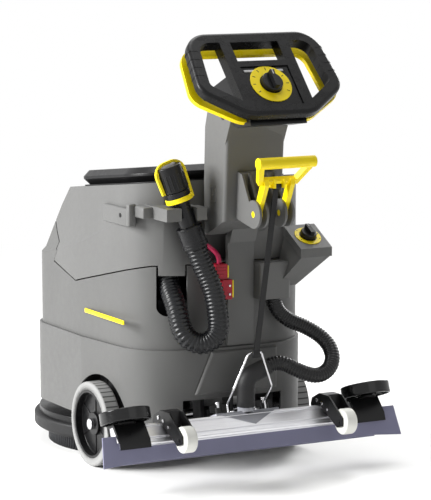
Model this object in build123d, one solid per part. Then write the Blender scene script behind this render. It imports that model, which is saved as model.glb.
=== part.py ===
from build123d import *
# Walk-behind floor scrubber drier, parked with its squeegee raised.
#
# Millimetres, +X to the operator's right, +Y the way it travels, +Z up. The origin is on the floor,
# under the middle of the machine's box. Each sub-part is written to parts/NODE.step.
import math
import os

# ---- driving dimensions -------------------------------------------------------------------------
WHEEL_R, WHEEL_W = 100.0, 38.0
WHEEL_OUT = 272.0            # outer face of each drive wheel, from the centre plane
AXLE_Y, AXLE_R = -22.0, 10.0
RUN_FIT = 0.05               # radial clearance of a running fit
GAP = 0.5                    # clearance between parts that pass each other

DECK_Y, DECK_R = 222.0, 262.0
BUMPER_T = 13.0              # rubber ring round the brush deck
DECK_Z0, DECK_Z1 = 34.0, 86.0
BRUSH_R = 245.0
DISC_Z0, DISC_Z1 = 42.0, 60.0

HALF_FRONT, HALF_REAR = 245.0, 214.0     # half widths of the body in plan
FRONT_Y, REAR_Y = 357.0, -225.0
TAPER_Y = 60.0                           # where the sides start to draw in towards the rear
R_FRONT, R_REAR = 80.0, 140.0
BODY_Z0, SKIRT_Z1 = 105.0, 295.0
SHOULDER_Z, SHOULDER_SLOPE, LEDGE = 538.0, 14.0, 13.0    # the sides step in above a line that climbs to the rear
SKIRT_OUT = 7.0
LID_REAR_Z, LID_FRONT_Z = 684.0, 637.0   # upper edge of the dirty-water tank
TANK_FRONT_Y, TANK_REAR_Y = 184.0, -205.0
HALF_TOP = 212.0
WALL = 5.0
FLOOR_Z0 = 224.0                         # underside of the battery floor

COLUMN_HALF, COLUMN_WALL = 76.0, 4.0
FOOT_X0, FOOT_X1 = -18.0, 50.0
HANDLE_NEAR = (0.0, -456.0, 861.0)       # middle of the handle's near edge, on its upper face
HANDLE_TILT = 47.2
HANDLE_T = 28.0
HANDLE_DEPTH = 221.0
DIAL_S = 76.0                            # programme dial, up the slope from the near edge
DIAL_R, DIAL_HOLE_R, DIAL_T = 50.0, 27.0, 2.0
KNOB_R, KNOB_H, SPINDLE_R = 25.0, 13.0, 4.0

LEVER_Y, LEVER_Z = -402.0, 625.0
LEVER_PIN_R = 7.0
EAR_IN, EAR_T, EAR_R = 21.0, 24.0, 32.0
LEG_X, LEG_T = 33.0, 11.0
STRAP_TOP = (-428.0, 690.0)              # (y, z) where the lift strap hangs from the lever
STRAP_END = (-337.2, 290.0)              # (y, z) of its lower end, just behind the wire yoke
STRAP_W, STRAP_T, WIRE_R = 14.0, 3.0, 2.5

LIFT_Y, LIFT_Z, LIFT_ANGLE = -131.0, 125.0, 20.0     # squeegee lift pivot and its raised angle
LIFT_PIN_R, LUG_X, LUG_T = 7.0, 34.0, 10.0
SQ_HALF, BEAM_HALF = 390.0, 345.0
BLADE_T, REAR_BLADE_Y, FRONT_BLADE_Y = 4.0, -311.0, -284.0
BLADE_LIP, SLOT_DEPTH = 6.0, 14.0                    # blades stop short of the floor except at their ends
BEAM_REAR, BEAM_FRONT, BEAM_TOP_REAR = -318.0, -276.0, -300.0
BEAM_Z0, BEAM_Z1 = 40.0, 92.0
SWING_Y, SWING_PIN_R = -226.0, 9.0                   # upright pin on which the squeegee swings
PLATE_T = 5.0
ROLLER_X, ROLLER_Y, ROLLER_Z, ROLLER_R, ROLLER_W = 208.0, -377.0, 38.0, 30.0, 30.0
PUCK_X, PUCK_Y, PUCK_Z, PUCK_R, PUCK_H = 316.0, -308.0, 99.0, 58.0, 28.0
STUD_X, STUD_Y, STUD_R = 60.0, -270.0, 5.0           # squeegee fixing studs and their wing nuts

DRAIN_D, SUCTION_D = 50.0, 36.0

os.makedirs("parts", exist_ok=True)
parts = {}


# ---- small shape makers -------------------------------------------------------------------------
def prism_x(points, x0, x1):
    """A (y, z) outline pushed along X."""
    face = Plane.YZ.offset(x0) * make_face(Polyline(*points, close=True))
    return extrude(face, x1 - x0)


def prism_y(points, y0, y1):
    """An (x, z) outline pushed along Y."""
    face = Plane.XZ.offset(-y1) * make_face(Polyline(*points, close=True))
    return extrude(face, y1 - y0)


def prism_z(points, z0, z1):
    """An (x, y) outline pushed along Z."""
    return extrude(Pos(0, 0, z0) * make_face(Polyline(*points, close=True)), z1 - z0)


def box(x0, x1, y0, y1, z0, z1):
    return Pos((x0 + x1) / 2, (y0 + y1) / 2, (z0 + z1) / 2) * Box(x1 - x0, y1 - y0, z1 - z0)


def rod_x(x0, x1, y, z, r):
    return Pos((x0 + x1) / 2, y, z) * Rot(0, 90, 0) * Cylinder(r, abs(x1 - x0))


def rod_between(a, b, r):
    a, b = Vector(*a), Vector(*b)
    return extrude(Plane(origin=a, z_dir=b - a) * Circle(r), (b - a).length)


def rod_z(x, y, z0, z1, r):
    return Pos(x, y, (z0 + z1) / 2) * Cylinder(r, z1 - z0)


def ring_z(x, y, z0, z1, r_out, r_in):
    return rod_z(x, y, z0, z1, r_out) - rod_z(x, y, z0 - 1, z1 + 1, r_in)


def solids_of(*shapes):
    found = []
    for shape in shapes:
        found += shape.solids()
    return found


def save(name, *shapes):
    found = solids_of(*shapes)
    parts[name] = found[0] if len(found) == 1 else Compound(children=found)


def route_tube(name, points, diameter):
    """A hose along straight runs joined by tangent arcs as large as the runs allow."""
    corners = [Vector(*p) for p in points]
    radii = []
    for a, b, c in zip(corners, corners[1:], corners[2:]):
        turn = math.radians((b - a).get_angle(c - b))
        radii.append(0.45 * min((b - a).length, (c - b).length) / math.tan(turn / 2))
    path = FilletPolyline(*points, radius=radii)
    start = Plane(origin=points[0], z_dir=corners[1] - corners[0])
    tube = sweep(start * Circle(diameter / 2), path=path)
    section = math.pi * diameter ** 2 / 4
    print(name, "length", round(path.length), "radii", [round(r) for r in radii],
          "volume ratio", round(tube.volume / (section * path.length), 4))
    return tube


# ---- body envelope ------------------------------------------------------------------------------
SIDE = [(REAR_Y, BODY_Z0), (REAR_Y, 495), (TANK_REAR_Y, LID_REAR_Z), (TANK_FRONT_Y, LID_FRONT_Z),
        (222, 592), (262, 534), (306, 468), (342, 390), (FRONT_Y, 300), (FRONT_Y, BODY_Z0)]
PARTING = [(-300, 497), (-182, 488), (104, 421), (226, 453), (208, 481), (240, 522), (262, 560)]


def plan_face(grow=0.0):
    outline = make_face(Polyline((-HALF_REAR, REAR_Y), (HALF_REAR, REAR_Y), (HALF_FRONT, TAPER_Y),
                                 (HALF_FRONT, FRONT_Y), (-HALF_FRONT, FRONT_Y), (-HALF_FRONT, TAPER_Y),
                                 close=True))
    corners = outline.vertices().sort_by(Axis.Y)
    outline = fillet(corners[:2], R_REAR)
    corners = outline.vertices().sort_by(Axis.Y)
    outline = fillet(corners[-2:], R_FRONT)
    return offset(outline, amount=grow) if grow else outline


def envelope(inset=0.0):
    """The outer shape of tanks and body, or the same shape drawn in by a wall."""
    plan = extrude(plan_face(-inset), LID_REAR_Z + 20)
    side = make_face(Polyline(*SIDE, close=True))
    half = [(HALF_FRONT, -200), (HALF_FRONT, SHOULDER_Z), (HALF_FRONT - LEDGE, SHOULDER_Z + 1.3 * LEDGE),
            (HALF_TOP, LID_REAR_Z + 60)]
    front = make_face(Polyline(*half, *[(-x, z) for x, z in reversed(half)], close=True))
    if inset:
        side = offset(side, amount=-inset, kind=Kind.INTERSECTION)
        front = offset(front, amount=-inset, kind=Kind.INTERSECTION)
    side_cut = extrude(Plane.YZ.offset(-300) * side, 600)
    front_cut = extrude(Plane.XZ.offset(-500) * front, 1000)
    front_cut = Pos(0, 0, SHOULDER_Z) * Rot(-SHOULDER_SLOPE, 0, 0) * Pos(0, 0, -SHOULDER_Z) * front_cut
    return plan & side_cut & front_cut


def below_parting(gap=0.0):
    points = [(y - gap * (y > 260), z - gap) for y, z in PARTING]
    return prism_x([(-300, 0)] + points + [(points[-1][0], 760), (500, 760), (500, 0)], -300, 300)


def above_parting(gap):
    points = [(y - gap * (y > 200), z + gap) for y, z in PARTING]
    return prism_x([(-300, 800)] + points + [(points[-1][0], 800)], -300, 300)


# ---- lower tank: clean-water tank, battery bay and wheel arches ---------------------------------
ARCH_R = WHEEL_R + 16
outer = envelope() + extrude(Pos(0, 0, BODY_Z0) * plan_face(SKIRT_OUT), SKIRT_Z1 - BODY_Z0)
lower = outer & below_parting()
bay = envelope(WALL) & box(-300, 300, -300, 500, FLOOR_Z0 + WALL, 800)
under = extrude(Pos(0, 0, BODY_Z0 - 1) * plan_face(SKIRT_OUT - WALL), FLOOR_Z0 - BODY_Z0 + 1)
lower = lower - bay - under
for side in (-1, 1):
    lower -= rod_x(side * 160, side * 300, AXLE_Y, WHEEL_R, ARCH_R)
DRAIN_SLOT = (-180.0, -116.0, 374.0)      # x from, x to, lowest edge
slot = box(DRAIN_SLOT[0], DRAIN_SLOT[1], -260, -120, DRAIN_SLOT[2], 520)
slot = fillet(slot.edges().filter_by(Axis.Y).group_by(Axis.Z)[0], 22)
lower -= slot
ARM_WINDOW = 130.0                       # half width of the cut-out where the squeegee arm comes out
lower -= box(-ARM_WINDOW, ARM_WINDOW, -300, -180, BODY_Z0 - 1, 178)
FILLER_Z, FILLER_R = 262.0, 28.0         # filling hole in the front wall
front_face = FRONT_Y + SKIRT_OUT
lower -= Pos(0, FRONT_Y, FILLER_Z) * Rot(90, 0, 0) * Cylinder(FILLER_R, 60)

# ---- upper tank: dirty-water tank that tips up about its front edge ------------------------------
tank_outer = envelope() & above_parting(3.0)
recess = box(-74, 56, -260, -185, 496, 566)
tank_outer -= recess
tank_inner = envelope(WALL) & above_parting(3.0 + WALL) & box(-300, 300, -300, 500, 0, 800)
tank_inner -= box(-74 - WALL, 56 + WALL, -260, -185 + WALL, 490, 566 + WALL)
LID_OPEN = [(-166, -166), (166, -166), (162, 148), (-162, 148)]
lid_hole = fillet(prism_z(LID_OPEN, 560, 760).edges().filter_by(Axis.Z), 40)
flap = (envelope() - envelope(WALL)) & box(DRAIN_SLOT[0] + 5, DRAIN_SLOT[1] - 5, -260, -120, 468, 506)
upper = tank_outer - tank_inner - lid_hole + flap

# ---- hook on the tank's rear left corner that holds the drain hose -------------------------------
DRAIN_TOP = (-166.0, -250.0, 690.0)      # axis of the rigid end tube of the drain hose
DRAIN_LOW = (-116.0, -266.0, 538.0)


def along_drain(z):
    t = (z - DRAIN_LOW[2]) / (DRAIN_TOP[2] - DRAIN_LOW[2])
    return tuple(a + t * (b - a) for a, b in zip(DRAIN_LOW, DRAIN_TOP))


def drain_cylinder(z0, z1, r):
    return rod_between(along_drain(z0), along_drain(z1), r)


TUBE_R, CUFF_R, CAP_R = 20.0, 29.0, 29.0
hook = box(-200, -98, -284, -150, 603, 632) - box(-106, -80, -240, -140, 590, 660)
hook -= drain_cylinder(560, 700, TUBE_R + 2)
mouth = along_drain(618)
hook -= box(mouth[0] - TUBE_R, mouth[0] + TUBE_R, -300, mouth[1], 590, 660)
hook -= envelope()

# ---- rigid tube, cuff and cap at the end of the drain hose ---------------------------------------
CAP_Z0, CAP_Z1 = 668.0, 726.0
tube = drain_cylinder(552, CAP_Z0, TUBE_R) - drain_cylinder(540, CAP_Z0 + 5, TUBE_R - 3)
cuff = drain_cylinder(540, 588, CUFF_R) - drain_cylinder(530, 552, DRAIN_D / 2 - 2)
cuff -= drain_cylinder(545, 600, TUBE_R - 3)
collar = drain_cylinder(CAP_Z0 - 12, CAP_Z0, CAP_R) - drain_cylinder(CAP_Z0 - 20, CAP_Z0 + 5, TUBE_R - 3)
spigot = drain_cylinder(CAP_Z0, CAP_Z0 + 26, TUBE_R) - drain_cylinder(CAP_Z0 - 5, CAP_Z0 + 40, TUBE_R - 3)
drain_tube = tube + cuff + collar + spigot
cap = drain_cylinder(CAP_Z0 + 0.5, CAP_Z1, CAP_R) - drain_cylinder(CAP_Z0 - 5, CAP_Z1 - 6, TUBE_R + 0.3)

# rubber strap: a ring under the collar and a loop that passes over the cap
strap_ring = drain_cylinder(CAP_Z0 - 22, CAP_Z0 - 12, CAP_R + 3) - drain_cylinder(CAP_Z0 - 30, CAP_Z0, TUBE_R)
cap_axis = (Vector(*DRAIN_TOP) - Vector(*DRAIN_LOW)).normalized()
cap_side = cap_axis.cross(Vector(0, -1, 0)).normalized()
cap_frame = Plane(origin=along_drain(CAP_Z0 - 17), x_dir=cap_side, z_dir=cap_side.cross(cap_axis))
LOOP_TOP, LOOP_R = 87.0, 36.0
loop = trace(FilletPolyline((LOOP_R - 3, -6), (LOOP_R, LOOP_TOP), (-LOOP_R, LOOP_TOP), (-LOOP_R + 3, 20),
                            radius=26), 7)
strap_loop = extrude(cap_frame.offset(-4) * loop, 8)
cap_strap = strap_ring + (strap_loop - drain_cylinder(CAP_Z0 - 12, CAP_Z1, CAP_R + 0.5))

# ---- lid of the dirty-water tank -----------------------------------------------------------------
LID_T, LID_CHAMFER, LID_RIM = 34.0, 14.0, 20.0
lid_slope = math.degrees(math.atan2(LID_REAR_Z - LID_FRONT_Z, TANK_FRONT_Y - TANK_REAR_Y))
lid_mid = ((TANK_FRONT_Y + TANK_REAR_Y) / 2, (LID_REAR_Z + LID_FRONT_Z) / 2)
lid_frame = Plane(origin=(0, *lid_mid), x_dir=(1, 0, 0),
                  z_dir=(0, math.sin(math.radians(lid_slope)), math.cos(math.radians(lid_slope))))
LID_LEN, LID_HALF = 372.0, 205.0
SEAL_T = 3.0
lid_sketch = Rectangle(2 * LID_HALF, LID_LEN)
lid_sketch = fillet(lid_sketch.vertices().group_by(Axis.Y)[0], 120)
lid_sketch = fillet(lid_sketch.vertices().group_by(Axis.Y)[-1], 50)
lid = extrude(lid_frame.offset(SEAL_T) * lid_sketch, LID_T)
lid = chamfer(lid.faces().sort_by(Axis.Z)[-1].edges(), LID_CHAMFER)
lid -= extrude(lid_frame.offset(SEAL_T) * offset(lid_sketch, amount=-LID_RIM), LID_T - 8)
seal = extrude(lid_frame.offset(0.2) * (offset(lid_sketch, amount=-2) - offset(lid_sketch, amount=-12)),
               SEAL_T - 0.2)

# ---- tank hinge: barrels on the tipping tank turn on pins held in lugs of the lower tank -----------
HINGE_Y, HINGE_Z, HINGE_R, HINGE_PIN_R = 256.0, 552.0, 8.0, 4.0
LID_HINGE_R, LID_PIN_R = 5.0, 2.5
lid_hinge = lid_frame.from_local_coords((0, LID_LEN / 2 + 7, 7))
upper -= rod_x(-164, 164, HINGE_Y, HINGE_Z, HINGE_R + 1) - rod_x(-101, 101, HINGE_Y, HINGE_Z, 20)
lower -= rod_x(-148.5, 148.5, HINGE_Y, HINGE_Z, HINGE_R + 1) - rod_x(-117.5, 117.5, HINGE_Y, HINGE_Z, 20)
for side in (-1, 1):
    upper += rod_x(side * 118, side * 148, HINGE_Y, HINGE_Z, HINGE_R)
    upper += prism_x([(HINGE_Y - 22, HINGE_Z + 14), (HINGE_Y - 22, HINGE_Z + 26), (HINGE_Y + 4, HINGE_Z + 6),
                      (HINGE_Y - 6, HINGE_Z - 4)], *sorted((side * 118, side * 148)))
    upper -= rod_x(side * 116, side * 150, HINGE_Y, HINGE_Z, HINGE_PIN_R + RUN_FIT)
    for x0, x1 in ((102, 117.5), (148.5, 164)):
        lower += rod_x(side * x0, side * x1, HINGE_Y, HINGE_Z, HINGE_R)
        lower += prism_x([(HINGE_Y + 2, HINGE_Z - 22), (HINGE_Y + 9, HINGE_Z - 20), (HINGE_Y + 7, HINGE_Z - 2),
                          (HINGE_Y - 3, HINGE_Z - 6)], *sorted((side * x0, side * x1)))
    lower += rod_x(side * 102, side * 164, HINGE_Y, HINGE_Z, HINGE_PIN_R)
    arm_x = sorted((side * 125, side * 145))
    lid += rod_x(*arm_x, lid_hinge.Y, lid_hinge.Z, LID_HINGE_R)
    lid += lid_frame * box(*arm_x, LID_LEN / 2 - 8, LID_LEN / 2 + 7, 4, 11)
    lid -= rod_x(side * 120, side * 150, lid_hinge.Y, lid_hinge.Z, LID_PIN_R + RUN_FIT)
    for x0, x1 in ((115, 124.5), (145.5, 155)):
        lug_x = sorted((side * x0, side * x1))
        upper += rod_x(*lug_x, lid_hinge.Y, lid_hinge.Z, LID_HINGE_R)
        upper += lid_frame * box(*lug_x, LID_LEN / 2 + 3, LID_LEN / 2 + 10, -3, 7)
    upper += rod_x(side * 115, side * 155, lid_hinge.Y, lid_hinge.Z, LID_PIN_R)

# ---- control column ------------------------------------------------------------------------------
COLUMN_SIDE = [(-232, 560), (-229, 690), (-234, 810), (-254, 872), (-364, 850), (-336, 792), (-322, 602)]
column = prism_x(COLUMN_SIDE, -COLUMN_HALF, COLUMN_HALF)
column = fillet(column.edges().filter_by(Axis.Z, tolerance=25).filter_by_position(Axis.Y, -370, -310), 9)
inner_side = offset(make_face(Polyline(*COLUMN_SIDE, close=True)), amount=-COLUMN_WALL, kind=Kind.INTERSECTION)
column -= extrude(Plane.YZ.offset(-COLUMN_HALF + COLUMN_WALL) * inner_side, 2 * (COLUMN_HALF - COLUMN_WALL))
foot = box(FOOT_X0, FOOT_X1, REAR_Y - 12, REAR_Y, 300, 556) + box(FOOT_X0, FOOT_X1, -245, -232, 540, 566)
foot = foot + prism_x([(-237, 540), (-237, 556), (-232, 562), (-260, 575), (-245, 540)], FOOT_X0, FOOT_X1)
column = column + foot


# ---- chassis, axle and wheels --------------------------------------------------------------------
RAIL_X0, RAIL_X1, RAIL_Z0 = 90.0, 120.0, 205.0
CHEEK_X0, CHEEK_X1 = 193.0, 203.0
frame = box(-CHEEK_X1, CHEEK_X1, AXLE_Y - 38, AXLE_Y + 38, 214, FLOOR_Z0)
frame += box(-RAIL_X1, RAIL_X1, 300, 325, RAIL_Z0, FLOOR_Z0)
frame += box(-RAIL_X1, RAIL_X1, LIFT_Y - 19, LIFT_Y + 19, RAIL_Z0, FLOOR_Z0)
for side in (-1, 1):
    frame += box(*sorted((side * RAIL_X0, side * RAIL_X1)), -195, 325, RAIL_Z0, FLOOR_Z0)
    frame += box(*sorted((side * 98, side * 114)), DECK_Y - 20, DECK_Y + 20, DECK_Z1, RAIL_Z0)
    frame += box(*sorted((side * CHEEK_X0, side * CHEEK_X1)), AXLE_Y - 38, AXLE_Y + 38, 82, 214)
    frame += box(*sorted((side * LUG_X, side * (LUG_X + LUG_T))), LIFT_Y - 19, LIFT_Y + 19, 106, RAIL_Z0)
frame -= rod_x(-300, 300, AXLE_Y, WHEEL_R, AXLE_R)
frame += rod_x(-LUG_X - LUG_T, LUG_X + LUG_T, LIFT_Y, LIFT_Z, LIFT_PIN_R)

wheel_in = WHEEL_OUT - WHEEL_W
hub_out = WHEEL_OUT - 10
axle = rod_x(-hub_out - 6, hub_out + 6, AXLE_Y, WHEEL_R, AXLE_R)
nuts, rims, tyres = [], [], []
for side in (-1, 1):
    axle += rod_x(side * CHEEK_X1, side * (wheel_in + 1.5), AXLE_Y, WHEEL_R, 16)
    nut = rod_x(side * (hub_out + 0.6), side * (hub_out + 10), AXLE_Y, WHEEL_R, 13)
    nuts.append(nut - rod_x(side * 200, side * (hub_out + 6), AXLE_Y, WHEEL_R, AXLE_R))
    rim_r = WHEEL_R - 19
    rim = rod_x(side * wheel_in, side * WHEEL_OUT, AXLE_Y, WHEEL_R, rim_r)
    rim -= rod_x(side * (wheel_in + 20), side * (WHEEL_OUT + 1), AXLE_Y, WHEEL_R, rim_r - 7)
    rim -= rod_x(side * (wheel_in - 1), side * (wheel_in + 12), AXLE_Y, WHEEL_R, rim_r - 7)
    rim += rod_x(side * (wheel_in + 2), side * hub_out, AXLE_Y, WHEEL_R, 27)
    rims.append(rim - rod_x(side * 200, side * 300, AXLE_Y, WHEEL_R, AXLE_R + RUN_FIT))
    tyre = rod_x(side * wheel_in, side * WHEEL_OUT, AXLE_Y, WHEEL_R, WHEEL_R)
    tyre = fillet(tyre.edges(), 5)
    tyres.append(tyre - rod_x(side * 200, side * 300, AXLE_Y, WHEEL_R, rim_r))

# ---- brush deck, gear motor and brush ------------------------------------------------------------
deck = ring_z(0, DECK_Y, DECK_Z0, DECK_Z1, DECK_R, DECK_R - 7) + rod_z(0, DECK_Y, DECK_Z1 - 7, DECK_Z1, DECK_R)
deck -= rod_z(0, DECK_Y, DECK_Z1 - 10, DECK_Z1 + 1, 22)
bumper = ring_z(0, DECK_Y, DECK_Z0 + 6, DECK_Z0 + 36, DECK_R + BUMPER_T, DECK_R)
bumper = fillet(bumper.edges().filter_by(GeomType.CIRCLE).group_by(SortBy.RADIUS)[-1], 5)
SHAFT_R, MOTOR_R, MOTOR_TOP = 12.0, 68.0, 198.0
motor = rod_z(0, DECK_Y, DECK_Z1, MOTOR_TOP, MOTOR_R) + rod_z(0, DECK_Y, DECK_Z1, DECK_Z1 + 12, MOTOR_R + 14)
motor = motor - rod_z(0, DECK_Y, DECK_Z1 - 1, DECK_Z1 + 40, SHAFT_R + RUN_FIT)
disc = rod_z(0, DECK_Y, DISC_Z0, DISC_Z1, BRUSH_R - 4) + rod_z(0, DECK_Y, DISC_Z1, DECK_Z1 - 9, 34)
disc += rod_z(0, DECK_Y, DISC_Z1, DECK_Z1 + 38, SHAFT_R)
bristles = ring_z(0, DECK_Y, 0, DISC_Z0, BRUSH_R - 4, 80)

# ---- inside the battery bay ----------------------------------------------------------------------
BAY_FLOOR = FLOOR_Z0 + WALL
batteries = []
for y0 in (-172.0, 2.0):
    case = box(-165, 165, y0, y0 + 170, BAY_FLOOR, BAY_FLOOR + 178)
    for x in (-130, 130):
        case += rod_z(x, y0 + 30, BAY_FLOOR + 178, BAY_FLOOR + 188, 8)
    batteries.append(case)
turbine = rod_z(90, 264, BAY_FLOOR, BAY_FLOOR + 110, 62) + rod_z(90, 264, BAY_FLOOR + 110, BAY_FLOOR + 130, 34)
turbine -= rod_z(90, 264, BAY_FLOOR + 100, BAY_FLOOR + 131, 28)
water_filter = rod_z(155, 70, 140, FLOOR_Z0, 27) + rod_z(155, 70, 124, 140, 18)
filler_cap = Pos(0, front_face + 9, FILLER_Z) * Rot(90, 0, 0) * Cylinder(FILLER_R + 8, 17)
filler_cap += Pos(0, front_face - 6, FILLER_Z) * Rot(90, 0, 0) * Cylinder(FILLER_R - RUN_FIT, 14)
filler_cap += box(-26, 26, front_face + 17, front_face + 24, FILLER_Z - 5, FILLER_Z + 5)

# ---- low cover on the rear wall, battery plug and its cables -------------------------------------
skirt_rear = REAR_Y - SKIRT_OUT
rear_cover = prism_y([(-104, 190), (-60, 288), (112, 288), (112, 190)], skirt_rear - 8, skirt_rear)
rear_cover = chamfer(rear_cover.faces().sort_by(Axis.Y)[0].edges(), 4)
PLUG_LOW = (-46.0, -20.0, -263.0, REAR_Y, 412.0, 458.0)
PLUG_TOP = (-60.0, -30.0, -258.0, -230.0, 458.0, 494.0)
plug_low, plug_top = box(*PLUG_LOW), box(*PLUG_TOP)
CABLE_R = 5.5
red_route = [(-45, -244, 494), (-45, -244, 511), (-56, -228, 528), (-67, -205, 540)]
black_route = [(-34, -247, 412), (-34, -247, 393), (-37, -240, 372), (-42, -218, 358)]
cables = []
for name, route in (("red cable", red_route), ("black cable", black_route)):
    cables.append(route_tube(name, route, 2 * CABLE_R))
lower -= rod_between((-32, -262, 386), (-47, -196, 344), CABLE_R + 2)

# ---- dosing housing on the rear right corner, with the suction hose socket under it --------------
DOSE_TOP, DOSE_LOW = (-226.0, 568.0), (-308.0, 523.0)    # (y, z) of the sloping face
DOSE_X0, DOSE_X1, DOSE_BAND = 135.0, 218.0, 21.0
cap_block = prism_x([DOSE_TOP, DOSE_LOW, (DOSE_LOW[0], DOSE_LOW[1] - DOSE_BAND),
                     (DOSE_TOP[0], DOSE_TOP[1] - DOSE_BAND)], DOSE_X0, DOSE_X1)
wide = make_face(Polyline((DOSE_X0 + 3, DOSE_TOP[0] - 2, DOSE_TOP[1] - DOSE_BAND), (DOSE_X1 - 3, DOSE_TOP[0] - 2, DOSE_TOP[1] - DOSE_BAND),
                          (DOSE_X1 - 3, DOSE_LOW[0] + 3, DOSE_LOW[1] - DOSE_BAND), (DOSE_X0 + 3, DOSE_LOW[0] + 3, DOSE_LOW[1] - DOSE_BAND),
                          close=True))
narrow = make_face(Polyline((100, -196, 432), (152, -196, 432), (152, -256, 432), (100, -256, 432), close=True))
funnel = loft([wide, narrow])
shroud = box(52, 134, -268, -190, 405, 490)
shroud = fillet(shroud.edges().filter_by(Axis.Z).group_by(Axis.Y)[0], 12)
dosing = cap_block + funnel + shroud
dosing = dosing - (envelope() & box(-300, 300, -300, 300, 0, 476))
dosing = dosing - (envelope(-9) & box(-300, 300, -300, 300, 476, 700))
HOSE_OUT = (96.0, -246.0, 405.0)
dosing -= rod_z(HOSE_OUT[0], HOSE_OUT[1], 395, 425, SUCTION_D / 2)
dose_tilt = math.degrees(math.atan2(DOSE_TOP[1] - DOSE_LOW[1], DOSE_TOP[0] - DOSE_LOW[0]))
dose_frame = Plane(origin=((DOSE_X0 + DOSE_X1) / 2, (DOSE_TOP[0] + DOSE_LOW[0]) / 2, (DOSE_TOP[1] + DOSE_LOW[1]) / 2),
                   x_dir=(1, 0, 0), z_dir=(0, -math.sin(math.radians(dose_tilt)), math.cos(math.radians(dose_tilt))))
DOSE_RING_R = 32.0


def dial(frame, ring_r, hole_r):
    """The flat scale ring under a rotary knob."""
    return extrude(frame * (Circle(ring_r) - Circle(hole_r)), DIAL_T)


def knob(frame, radius, wing):
    """A pointer knob with its spindle, standing just clear of its panel."""
    shape = extrude(frame.offset(0.6) * Circle(radius), KNOB_H)
    shape = chamfer(shape.edges().sort_by(Axis.Z)[-1:], 2)
    shape += extrude(frame.offset(0.6 + KNOB_H) * Rectangle(10, 2 * radius - 5), wing)
    return shape + extrude(frame.offset(-12) * Circle(SPINDLE_R), 13)


dosing -= extrude(dose_frame.offset(-14) * Circle(SPINDLE_R + RUN_FIT), 20)
dosing_knob = knob(dose_frame, 19, 11)

# ---- handle head: ring with spokes, soft grips, panel, dial, head shell --------------------------
handle = Plane(origin=HANDLE_NEAR, x_dir=(1, 0, 0),
               z_dir=(0, -math.sin(math.radians(HANDLE_TILT)), math.cos(math.radians(HANDLE_TILT))))
RIM = [(84, -8), (184, 64), (168, 226)]                # near, side and far corners of the right half


def symmetric_face(corners, radii):
    """A closed outline from its right-hand corners, each pair rounded with its own radius."""
    face = make_face(Polyline(*corners, *[(-x, s) for x, s in reversed(corners)], close=True))
    for (x, s), radius in zip(corners, radii):
        face = fillet(face.vertices().filter_by_position(Axis.Y, s - 0.1, s + 0.1), radius)
    return face


rim_face = symmetric_face(RIM, (80, 45, 60))
RIM_W, SPOKE_X, PANEL_X = 29.0, 88.0, 61.0
PANEL_S0, PANEL_S1, WINDOW_S0, WINDOW_S1 = 16.0, 126.0, 142.0, 196.0
flat = extrude(Pos(0, 0, -HANDLE_T) * rim_face, HANDLE_T)
flat = fillet(flat.edges().group_by(Axis.Z)[0] + flat.edges().group_by(Axis.Z)[-1], 9)
hollow = offset(rim_face, amount=-RIM_W) - Pos(0, 110) * Rectangle(2 * SPOKE_X, 400)
flat -= extrude(Pos(0, 0, -HANDLE_T - 1) * hollow, HANDLE_T + 2)
flat -= box(-PANEL_X, PANEL_X, WINDOW_S0, WINDOW_S1, -HANDLE_T - 1, 1)
flat -= box(-PANEL_X, PANEL_X, PANEL_S0, PANEL_S1, -6, 1)
grip_zone = box(-220, -120, 46, 204, -60, 20) + box(120, 220, 46, 204, -60, 20)
grips = handle * (flat & grip_zone)
ring = flat - grip_zone - Pos(0, DIAL_S, -14) * Cylinder(SPINDLE_R + RUN_FIT, 26)
panel = box(-PANEL_X + 0.5, PANEL_X - 0.5, PANEL_S0 + 0.5, PANEL_S1 - 0.5, -6, -3)
panel -= Pos(0, DIAL_S, -4) * Cylinder(SPINDLE_R + RUN_FIT, 10)
dial_plane = Plane(origin=handle.from_local_coords((0, DIAL_S, -3)), x_dir=handle.x_dir, z_dir=handle.z_dir)
program_knob = knob(dial_plane, KNOB_R, 12)
scale_rings = [dial(dial_plane, DIAL_R, DIAL_HOLE_R), dial(dose_frame, DOSE_RING_R, 21)]

HEAD_HALF, HEAD_S1, BAIL_S = 72.0, 130.0, 10.0


def under_ring(s, drop=0.0):
    """The (y, z) of a point under the ring, s up its slope."""
    point = handle.from_local_coords((0, s, -HANDLE_T - drop))
    return (point.Y, point.Z)


head_side = [under_ring(2), (-440, 828), (-372, 818), (-357, 824), (-364, 850), (-254, 872), (-262, 900),
             under_ring(HEAD_S1)]
head_face = make_face(Polyline(*head_side, close=True))
head = extrude(Plane.YZ.offset(-HEAD_HALF) * head_face, 2 * HEAD_HALF)
core = extrude(Plane.YZ.offset(-HEAD_HALF + 5) * offset(head_face, amount=-5, kind=Kind.INTERSECTION), 2 * HEAD_HALF - 10)
BAIL_DROP, BAIL_T, BAIL_PIN_R = 12.0, 10.0, 4.5
bail_axis = handle.from_local_coords((0, BAIL_S, -HANDLE_T - BAIL_DROP - BAIL_T / 2))
head = head - core - rod_x(-100, 100, bail_axis.Y, bail_axis.Z, BAIL_PIN_R + RUN_FIT)
BAIL_OUT, BAIL_IN = [(88, 1), (190, 66), (172, 211)], [(96, 22), (151, 62), (139, 190)]
bail_face = symmetric_face(BAIL_OUT, (60, 40, 50)) - symmetric_face(BAIL_IN, (30, 30, 30))
bail_face -= Pos(0, 20) * Rectangle(2 * HEAD_HALF + 12, 60)
bail = extrude(Pos(0, 0, -HANDLE_T - BAIL_DROP - BAIL_T) * bail_face, BAIL_T)
bail = handle * bail
for side in (-1, 1):
    bail += rod_x(side * 66, side * 84, bail_axis.Y, bail_axis.Z, BAIL_PIN_R)

screws = []
for y, z, r in ((-318, 843, 7), (-272, 860, 4)):
    for side in (-1, 1):
        screws.append(rod_x(side * COLUMN_HALF, side * (COLUMN_HALF + 3), y, z, r))

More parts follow.
